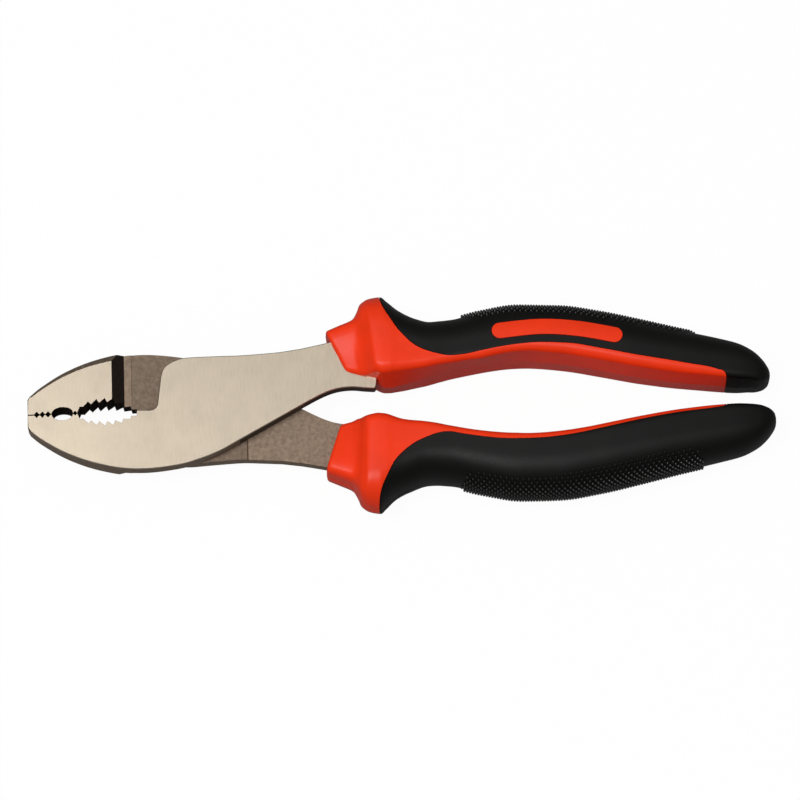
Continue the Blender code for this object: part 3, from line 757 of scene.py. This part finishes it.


# Numbers of the levers' finishes and painted shades, in the order in which they are made
GROUND, FORGED, NECK, SIDE, SHADED_EDGE, RECESS_SHADE = range(6)


def steel_face(face):
    """Which steel finish, or which painted shade, a face of the front lever gets."""
    centre, normal = face.center, face.normal
    skin = abs(abs(centre.z) - head_half(centre.x)) < SKIN_NEAR
    along_bite = NOSE_X + NOSE_MARGIN < centre.x < HOOK_X - HOOK_FILLET
    # Walls along the bite and in the toothed hole get the dark colour as painted shade
    if along_bite and centre.y > -HOLE_DEPTH - BITE_MARGIN and abs(normal.z) < FLAT:
        return RECESS_SHADE
    # Slopes that face the handles and the back: painted shade on the head's shoulder, the side tone on
    # the neck step
    if normal.x > FACING and normal.z < -SLOPING:
        return RECESS_SHADE if centre.x < 0 else SIDE
    if abs(normal.z) > FACING:
        if skin:
            return GROUND
        return FORGED if LAP_START_X < centre.x < LAP_END_X else NECK
    # Downward faces of the neck: painted shade, far darker than the rest of the forging
    if normal.y < -FACING and centre.x > LAP_END_X:
        return SHADED_EDGE
    return SIDE


def red_border(side, shift):
    """Line in XY between the hard core and the soft cover, moved towards the cover by the shift."""
    guard = [(x + shift, y + shift) for x, y in GUARD_BORDER]
    flank = []
    steps = int((RED_END_X - BORDER_JOIN_X) / BORDER_STEP)
    for k in range(steps + 1):
        x = BORDER_JOIN_X + (RED_END_X - BORDER_JOIN_X) * k / steps
        flank.append((x, inner_middle(x, side) + between(BORDER_RISE[side], x) + shift))
    last_x, last_y = flank.pop()
    end = rounded_corner(last_x + shift, last_y, RED_END_ROUND, -1)
    return smooth(guard + flank + end[:1], BORDER_STEPS) + end[1:]


def red_region(name, side, shift):
    border = red_border(side, shift)
    left = STATION_X[0] - 2 * OVERCUT
    top = max(Station(*row).edge for row in STATIONS) + OVERCUT
    outline = [(left, -OVERCUT), (left, top), (border[0][0], top)] + border + [(border[-1][0], -OVERCUT)]
    high = 2 * max(Station(*row).half for row in STATIONS)
    return block(name, outline, -high, high)


def pad_outline(grow):
    """Rounded strip along the pad's middle line."""
    line = [Vector(point) for point in smooth(PAD_LINE, BORDER_STEPS)]
    radius = PAD_HALF_HEIGHT + grow
    across = []
    for i in range(len(line)):
        along = (line[min(i + 1, len(line) - 1)] - line[max(i - 1, 0)]).normalized()
        across.append(Vector((-along.y, along.x)))
    upper = [place + radius * normal for place, normal in zip(line, across)]
    lower = [place - radius * normal for place, normal in zip(line, across)]

    def end(place, normal):
        turns = (math.pi * k / (2 * CORNER_STEPS) for k in range(1, 2 * CORNER_STEPS))
        return [place + radius * (Matrix.Rotation(-turn, 2) @ normal) for turn in turns]

    outline = upper + end(line[-1], across[-1]) + list(reversed(lower)) + end(line[0], -across[0])
    return [tuple(place) for place in outline]


def pad_block(name, grow):
    """The pad's strip as a body that reaches into the grip and out of its front."""
    flank = station(PAD_LINE[1][0]).half
    return block(name, pad_outline(grow), flank - PAD_SINK, flank + OVERCUT)


def envelope(name, side, lip_round, grow=0.0):
    """A whole grip, drawn for the upper handle, with a rounded front lip."""
    start, stop = STATION_X[0], STATION_X[-1]
    rings = []
    for step in range(CORNER_STEPS):
        angle = 0.5 * math.pi * step / CORNER_STEPS
        inset = lip_round * (1 - math.sin(angle)) - grow
        rings.append(ring(start + lip_round * (1 - math.cos(angle)), side, inset))
    x = start + lip_round
    while x < stop - FINE_STEP:
        rings.append(ring(x, side, -grow))
        fine = GUARD_SPAN[0] < x < GUARD_SPAN[1] or x > TAIL_X
        x += FINE_STEP if fine else PLAIN_STEP
    for share in TAIL_SHARES:
        rings.append(ring(x - FINE_STEP + (stop - x + FINE_STEP) * share, side, -grow))
    return loft(name, rings)


def stud_place(x, along):
    """Point of the outer crown at a distance along it from its top; the sign picks the side."""
    points = crown_line(x)
    left = abs(along)
    for near, far in zip(points, points[1:]):
        span = math.dist(near, far)
        if left <= span:
            break
        left -= span
    t = min(1.0, left / span)
    y = near[0] + (far[0] - near[0]) * t
    z = near[1] + (far[1] - near[1]) * t
    return Vector((x, y, math.copysign(z, along)))


def stud_reach(x, side, drop):
    """How far the stud zone runs along the crown from its top at x, down to the drop."""
    points = crown_line(x)
    stop = station(x).edge - between(drop, x)
    reach = 0.0
    for near, far in zip(points, points[1:]):
        if near[0] < stop:
            break
        reach += math.dist(near, far)
    for inside, rounding in zip((x - STUD_START_X, STUD_END_X[side] - x), STUD_END_ROUND):
        if inside < rounding:
            reach *= math.sqrt(max(0.0, 1 - (1 - inside / rounding) ** 2))
    return reach


def stud_grid(pitch, side):
    """Places of the studs in offset rows: x and the distance along the crown."""
    columns = int((STUD_END_X[side] - STUD_START_X) / (pitch / 2))
    widest = int(2 * station(STUD_START_X).half / STUD_ROW)
    for column in range(columns + 1):
        x = STUD_START_X + column * pitch / 2
        front, back = (stud_reach(x, side, drop) for drop in (STUD_DROP[side], STUD_BACK_DROP))
        for row in range(-widest, widest + 1):
            along = row * STUD_ROW
            reach = front if along * side > 0 else back
            if (row + column) % 2 == 0 and abs(along) <= reach:
                yield x, along


def add_stud(bm, x, along, radius, height):
    """One tapered stud with a rounded top, standing square on the cover."""
    foot = stud_place(x, along)
    run = stud_place(x + STUD_PROBE, along) - stud_place(x - STUD_PROBE, along)
    across = stud_place(x, along + STUD_PROBE) - stud_place(x, along - STUD_PROBE)
    up = run.cross(across).normalized()
    if up.y * foot.y + up.z * foot.z < 0:
        up.negate()
    right = run.normalized()
    ahead = up.cross(right)
    angles = (math.tau * k / STUD_SIDES for k in range(STUD_SIDES))
    spokes = [right * math.cos(angle) + ahead * math.sin(angle) for angle in angles]
    profile = [(radius, -STUD_SINK)] + [(share * radius, rise * height) for share, rise in STUD_PROFILE]
    loops = [[bm.verts.new(foot + up * level + size * spoke) for spoke in spokes]
             for size, level in profile]
    bridge(bm, loops)
    bm.faces.new(loops[0])
    tip = bm.verts.new(foot + up * height)
    for k in range(STUD_SIDES):
        bm.faces.new((loops[-1][k], loops[-1][(k + 1) % STUD_SIDES], tip))


def sockets(group, inputs, outputs):
    for name, kind, default in inputs:
        socket = group.interface.new_socket(name, in_out="INPUT", socket_type=kind)
        if default is not None:
            socket.default_value = default
    for name, kind in outputs:
        group.interface.new_socket(name, in_out="OUTPUT", socket_type=kind)
    return group.nodes.new("NodeGroupInput"), group.nodes.new("NodeGroupOutput")


def feed(tree, socket, value):
    """Link the socket to the value where that is a node's output, and set it otherwise."""
    if isinstance(value, bpy.types.NodeSocket):
        tree.links.new(value, socket)
    else:
        socket.default_value = value


def node(tree, kind, *inputs, **values):
    """A new node with its properties set and its inputs fed, by their order or by their names."""
    added = tree.nodes.new(kind)
    for name, value in values.items():
        if hasattr(added, name):
            setattr(added, name, value)
        else:
            feed(tree, added.inputs[name.replace("_", " ")], value)
    for socket, value in zip(added.inputs, inputs):
        feed(tree, socket, value)
    return added


def grain_group():
    """Fine lines that run across the tool, from grinding."""
    group = bpy.data.node_groups.new("Grinding lines", "ShaderNodeTree")
    came, out = sockets(
        group,
        (("Vector", "NodeSocketVector", None), ("Fineness", "NodeSocketFloat", 9000.0),
         ("Length", "NodeSocketFloat", 260.0)),
        (("Height", "NodeSocketFloat"), ("Tone", "NodeSocketFloat")))
    vector, fineness, length = (came.outputs[name] for name in ("Vector", "Fineness", "Length"))
    size = node(group, "ShaderNodeCombineXYZ", fineness, length, length)
    stretch = node(group, "ShaderNodeVectorMath", vector, size.outputs["Vector"], operation="MULTIPLY")
    lines = node(group, "ShaderNodeTexNoise", Vector=stretch.outputs["Vector"], Scale=1.0, Detail=3.0,
                 Roughness=0.7)
    broad = node(group, "ShaderNodeTexNoise", Vector=vector, Scale=140.0, Detail=2.0, Roughness=0.5)
    tone = node(group, "ShaderNodeMath", broad.outputs["Fac"], BROAD_SHARE, lines.outputs["Fac"],
                operation="MULTIPLY_ADD")
    feed(group, out.inputs["Height"], lines.outputs["Fac"])
    feed(group, out.inputs["Tone"], tone.outputs["Value"])
    return group


def pitting_group():
    """Uneven skin of small pits and patches, for forged and moulded surfaces."""
    group = bpy.data.node_groups.new("Pitted skin", "ShaderNodeTree")
    came, out = sockets(
        group,
        (("Vector", "NodeSocketVector", None), ("Scale", "NodeSocketFloat", 2500.0),
         ("Patch scale", "NodeSocketFloat", 150.0)),
        (("Height", "NodeSocketFloat"), ("Patches", "NodeSocketFloat")))
    vector, fine, broad = (came.outputs[name] for name in ("Vector", "Scale", "Patch scale"))
    pits = node(group, "ShaderNodeTexNoise", Vector=vector, Scale=fine, Detail=4.0, Roughness=0.65)
    patches = node(group, "ShaderNodeTexNoise", Vector=vector, Scale=broad, Detail=5.0, Roughness=0.6)
    feed(group, out.inputs["Height"], pits.outputs["Fac"])
    feed(group, out.inputs["Patches"], patches.outputs["Fac"])
    return group


def shared_group(name, build):
    return bpy.data.node_groups.get(name) or build()


def material(name, metallic, specular=0.5):
    """A new material, with its node tree, its Principled shader and its object coordinates."""
    finish = bpy.data.materials.new(name)
    finish.use_nodes = True
    tree = finish.node_tree
    shader = tree.nodes["Principled BSDF"]
    shader.inputs["Metallic"].default_value = metallic
    shader.inputs["Specular IOR Level"].default_value = specular
    coordinates = node(tree, "ShaderNodeTexCoord")
    return finish, tree, shader, coordinates.outputs["Object"]


def ranged(tree, value, low, high, socket, start=0.3, stop=0.7):
    """Feed a socket with the value spread between low and high."""
    spread = node(tree, "ShaderNodeMapRange", Value=value, From_Min=start, From_Max=stop, To_Min=low,
                  To_Max=high)
    feed(tree, socket, spread.outputs["Result"])


def shade(colour, factor):
    return tuple(min(1.0, channel * factor) for channel in colour)


def toned(tree, value, colour, tones, socket, start=0.35, stop=0.65):
    """Feed a colour socket with a mix of two tones of the colour by the value."""
    ramp = node(tree, "ShaderNodeValToRGB", Fac=value)
    for element, tone, position in zip(ramp.color_ramp.elements, tones, (start, stop)):
        element.position = position
        element.color = (*shade(colour, tone), 1.0)
    feed(tree, socket, ramp.outputs["Color"])


def bumped(tree, value, strength, depth, shader):
    bump = node(tree, "ShaderNodeBump", Strength=strength, Distance=depth, Height=value)
    feed(tree, shader.inputs["Normal"], bump.outputs["Normal"])


def ground_steel(name, colour):
    """Ground metal with fine lines across it."""
    finish, tree, shader, vector = material(name, metallic=1.0)
    lines = node(tree, "ShaderNodeGroup", node_tree=shared_group("Grinding lines", grain_group),
                 Vector=vector)
    toned(tree, lines.outputs["Tone"], colour, GROUND_TONES, shader.inputs["Base Color"],
          start=0.5, stop=0.9)
    ranged(tree, lines.outputs["Height"], low=0.34, high=0.46, socket=shader.inputs["Roughness"])
    bumped(tree, lines.outputs["Height"], strength=0.12, depth=0.00006, shader=shader)
    return finish


def pitted(name, colour, tones, roughness, bump, scale, patch_scale, metallic, specular):
    """A finish whose colour, roughness and bump follow the pitted skin."""
    finish, tree, shader, vector = material(name, metallic, specular)
    skin = node(tree, "ShaderNodeGroup", node_tree=shared_group("Pitted skin", pitting_group),
                Vector=vector, Scale=scale, Patch_scale=patch_scale)
    toned(tree, skin.outputs["Patches"], colour, tones, shader.inputs["Base Color"])
    ranged(tree, skin.outputs["Height"], *roughness, shader.inputs["Roughness"])
    bumped(tree, skin.outputs["Height"], *bump, shader)
    return finish


def forged_steel(name, colour, roughness, metallic=0.7, specular=0.5):
    return pitted(name, colour, tones=(0.8, 1.2), roughness=(roughness - 0.08, roughness + 0.1),
                  bump=(0.35, 0.00012), scale=2600.0, patch_scale=900.0, metallic=metallic,
                  specular=specular)


def hard_red(colour):
    return pitted("hard_red", colour, tones=(0.94, 1.04), roughness=(0.32, 0.4), bump=(0.06, 0.00005),
                  scale=1500.0, patch_scale=90.0, metallic=0.0, specular=0.18)


def soft_black(name, colour, roughness, specular):
    return pitted(name, colour, tones=(0.8, 1.35), roughness=(roughness - 0.05, roughness + 0.07),
                  bump=(0.12, 0.00006), scale=2600.0, patch_scale=120.0, metallic=0.0, specular=specular)


class PLIERS_OT_levers(Operator):
    """Build the two forged levers"""
    bl_idname = "pliers.levers"
    bl_label = "Levers"

    def execute(self, context):
        settings = context.scene.pliers_lever
        steels = [ground_steel("ground_steel", settings.ground_colour)]
        for name, tone, roughness in FORGED_STEELS:
            steels.append(forged_steel(name, shade(settings.forged_colour, tone), roughness))
        # The dark steel painted on the recess walls as shade
        steels.append(forged_steel("painted_recess_shade", settings.recess_shade_colour, roughness=0.8, metallic=0.0,
                                   specular=0.1))
        for side, name, body in LEVERS:
            piece = lever(name + "_forging", side, settings.edge_break / MM)
            paint(piece, steels)
            for face in piece.data.polygons:
                face.material_index = steel_face(face)
            if side == LOWER:
                piece.data.transform(HALF_TURN)
                combine(piece, "DIFFERENCE", rivet("rivet_hole", RIVET_CLEARANCE, OVERCUT))
            settle(piece, steels, body, name)
        return {"FINISHED"}


class PLIERS_OT_rivet(Operator):
    """Build the pivot rivet"""
    bl_idname = "pliers.rivet"
    bl_label = "Rivet"

    def execute(self, context):
        piece = rivet("rivet_with_head", 0.0, 0.0)
        steel = ground_steel("rivet_steel", shade(context.scene.pliers_lever.ground_colour, RIVET_SHADE))
        settle(piece, [steel], FRONT_HALF, "pivot_rivet")
        return {"FINISHED"}


class PLIERS_OT_grip_cores(Operator):
    """Build the hard grip cores with their window pads"""
    bl_idname = "pliers.grip_cores"
    bl_label = "Grip cores"

    def execute(self, context):
        settings = context.scene.pliers_grip
        plastic = hard_red(settings.red_colour)
        for side, name, body in GRIPS:
            core = envelope(name + "_core_moulding", side, settings.lip_round / MM)
            combine(core, "INTERSECT", red_region("red_region", side, 0.0))
            pad = envelope("window_pad", side, settings.lip_round / MM, PAD_RISE)
            combine(pad, "INTERSECT", pad_block("pad_strip", -settings.seam / MM))
            combine(core, "UNION", pad)
            seat(core, side)
            settle(core, [plastic], body, name + "_grip_core")
        return {"FINISHED"}


class PLIERS_OT_grip_covers(Operator):
    """Build the soft covers"""
    bl_idname = "pliers.grip_covers"
    bl_label = "Grip covers"

    def execute(self, context):
        settings = context.scene.pliers_grip
        rubber = soft_black("soft_black", settings.black_colour, roughness=0.47, specular=0.19)
        for side, name, body in GRIPS:
            cover = envelope(name + "_soft_cover", side, settings.lip_round / MM)
            combine(cover, "DIFFERENCE", red_region("red_region", side, settings.seam / MM),
                    pad_block("window", 0.0))
            seat(cover, side)
            settle(cover, [rubber], body, name + "_grip_cover")
        return {"FINISHED"}


class PLIERS_OT_studs(Operator):
    """Build the studs on the outer side of the soft covers"""
    bl_idname = "pliers.studs"
    bl_label = "Studs"

    def execute(self, context):
        settings = context.scene.pliers_grip
        rubber = soft_black("stud_black", settings.black_colour, roughness=0.3, specular=0.75)
        for side, name, body in GRIPS:
            bm = bmesh.new()
            for x, along in stud_grid(settings.stud_pitch / MM, side):
                add_stud(bm, x, along, settings.stud_radius / MM, settings.stud_height / MM)
            studs = made(name + "_cover_studs", bm)
            seat(studs, side)
            settle(studs, [rubber], body, None)
        return {"FINISHED"}


def floor_material(colour):
    """Pale floor that keeps the tool's shadow, near white to the camera and dim in reflections."""
    floor = bpy.data.materials.new("pale_floor")
    floor.use_nodes = True
    tree = floor.node_tree
    shader = tree.nodes["Principled BSDF"]
    shader.inputs["Roughness"].default_value = 0.9
    shader.inputs["Specular IOR Level"].default_value = 0.0
    glow = node(tree, "ShaderNodeEmission", Strength=1.0)
    path = node(tree, "ShaderNodeLightPath")
    camera, glossy, through = (
        path.outputs[name] for name in ("Is Camera Ray", "Is Glossy Ray", "Is Transmission Ray"))
    direct = node(tree, "ShaderNodeMath", camera, glossy, operation="MAXIMUM")
    seen = node(tree, "ShaderNodeMath", direct.outputs["Value"], through, operation="MAXIMUM")
    tint = node(tree, "ShaderNodeMix", data_type="RGBA", Factor=camera,
                A=(*shade(colour, FLOOR_BOUNCE), 1.0), B=(*colour, 1.0))
    feed(tree, shader.inputs["Base Color"], tint.outputs["Result"])
    base = node(tree, "ShaderNodeMath", seen.outputs["Value"], FLOOR_GLOW_GLOSSY, operation="MULTIPLY")
    share = node(tree, "ShaderNodeMath", camera, FLOOR_GLOW_CAMERA - FLOOR_GLOW_GLOSSY,
                 base.outputs["Value"], operation="MULTIPLY_ADD")
    mixed = node(tree, "ShaderNodeMixShader", share.outputs["Value"], shader.outputs["BSDF"],
                 glow.outputs["Emission"])
    feed(tree, tree.nodes["Material Output"].inputs["Surface"], mixed.outputs["Shader"])
    return floor


class PLIERS_OT_stage(Operator):
    """Set the floor, the light and the camera"""
    bl_idname = "pliers.stage"
    bl_label = "Stage"

    def execute(self, context):
        settings = context.scene.pliers_stage
        self.floor(settings)
        self.light(context.scene, settings)
        self.camera(context.scene, settings)
        return {"FINISHED"}

    def floor(self, settings):
        bm = bmesh.new()
        bmesh.ops.create_grid(bm, x_segments=1, y_segments=1, size=FLOOR_HALF)
        bmesh.ops.translate(bm, vec=(0, 0, -FLOOR_DROP), verts=bm.verts)
        floor = made("floor", bm)
        floor.data.materials.append(floor_material(settings.floor_colour))

    def light(self, scene, settings):
        world = bpy.data.worlds.new("studio")
        world.use_nodes = True
        tree = world.node_tree
        direction = node(tree, "ShaderNodeTexCoord")
        facing = node(tree, "ShaderNodeVectorMath", direction.outputs["Generated"], WORLD_BRIGHT_SIDE,
                      operation="DOT_PRODUCT")
        ranged(tree, facing.outputs["Value"], WORLD_DARK_SHARE * settings.fill, settings.fill,
               tree.nodes["Background"].inputs["Strength"], *WORLD_FADE)
        tree.nodes["Background"].inputs["Color"].default_value = WHITE
        scene.world = world
        light = bpy.data.lights.new("softbox", "AREA")
        light.energy = settings.key_power
        light.size = KEY_SIZE
        lamp = bpy.data.objects.new("softbox", light)
        lamp.location = KEY_PLACE
        lamp.rotation_euler = (-lamp.location).to_track_quat("-Z", "Y").to_euler()
        scene.collection.objects.link(lamp)
        scene.view_settings.view_transform = "Standard"

    def camera(self, scene, settings):
        data = bpy.data.cameras.new("camera")
        data.lens = settings.lens
        data.clip_start = CLIP_START
        camera = bpy.data.objects.new("camera", data)
        away = Vector((0.0, -math.cos(settings.elevation), math.sin(settings.elevation)))
        camera.location = PIVOT + Vector(settings.target) + settings.distance * away
        aim = (-away).to_track_quat("-Z", "Y").to_matrix().to_4x4()
        camera.rotation_euler = (aim @ Matrix.Rotation(-settings.roll, 4, "Z")).to_euler()
        scene.collection.objects.link(camera)
        scene.camera = camera


class VIEW3D_PT_pliers(Panel):
    bl_label = "Combination Pliers"
    bl_space_type = "VIEW_3D"
    bl_region_type = "UI"
    bl_category = "Pliers"

    def draw(self, context):
        scene = context.scene
        for settings in (scene.pliers_lever, scene.pliers_grip, scene.pliers_stage):
            box = self.layout.box()
            for name in settings.__annotations__:
                box.prop(settings, name)
        for step in STEPS:
            self.layout.operator(step.bl_idname)


STEPS = (PLIERS_OT_stage, PLIERS_OT_levers, PLIERS_OT_rivet, PLIERS_OT_grip_cores, PLIERS_OT_grip_covers,
         PLIERS_OT_studs)
CLASSES = (PliersLeverSettings, PliersGripSettings, PliersStageSettings, *STEPS, VIEW3D_PT_pliers)


def register():
    for item in CLASSES:
        bpy.utils.register_class(item)
    bpy.types.Scene.pliers_lever = PointerProperty(type=PliersLeverSettings)
    bpy.types.Scene.pliers_grip = PointerProperty(type=PliersGripSettings)
    bpy.types.Scene.pliers_stage = PointerProperty(type=PliersStageSettings)


def unregister():
    del bpy.types.Scene.pliers_stage
    del bpy.types.Scene.pliers_grip
    del bpy.types.Scene.pliers_lever
    for item in reversed(CLASSES):
        bpy.utils.unregister_class(item)


def main():
    register()
    bpy.ops.pliers.stage()
    bpy.ops.pliers.levers()
    bpy.ops.pliers.rivet()
    bpy.ops.pliers.grip_cores()
    bpy.ops.pliers.grip_covers()
    bpy.ops.pliers.studs()


if __name__ == "__main__":
    main()
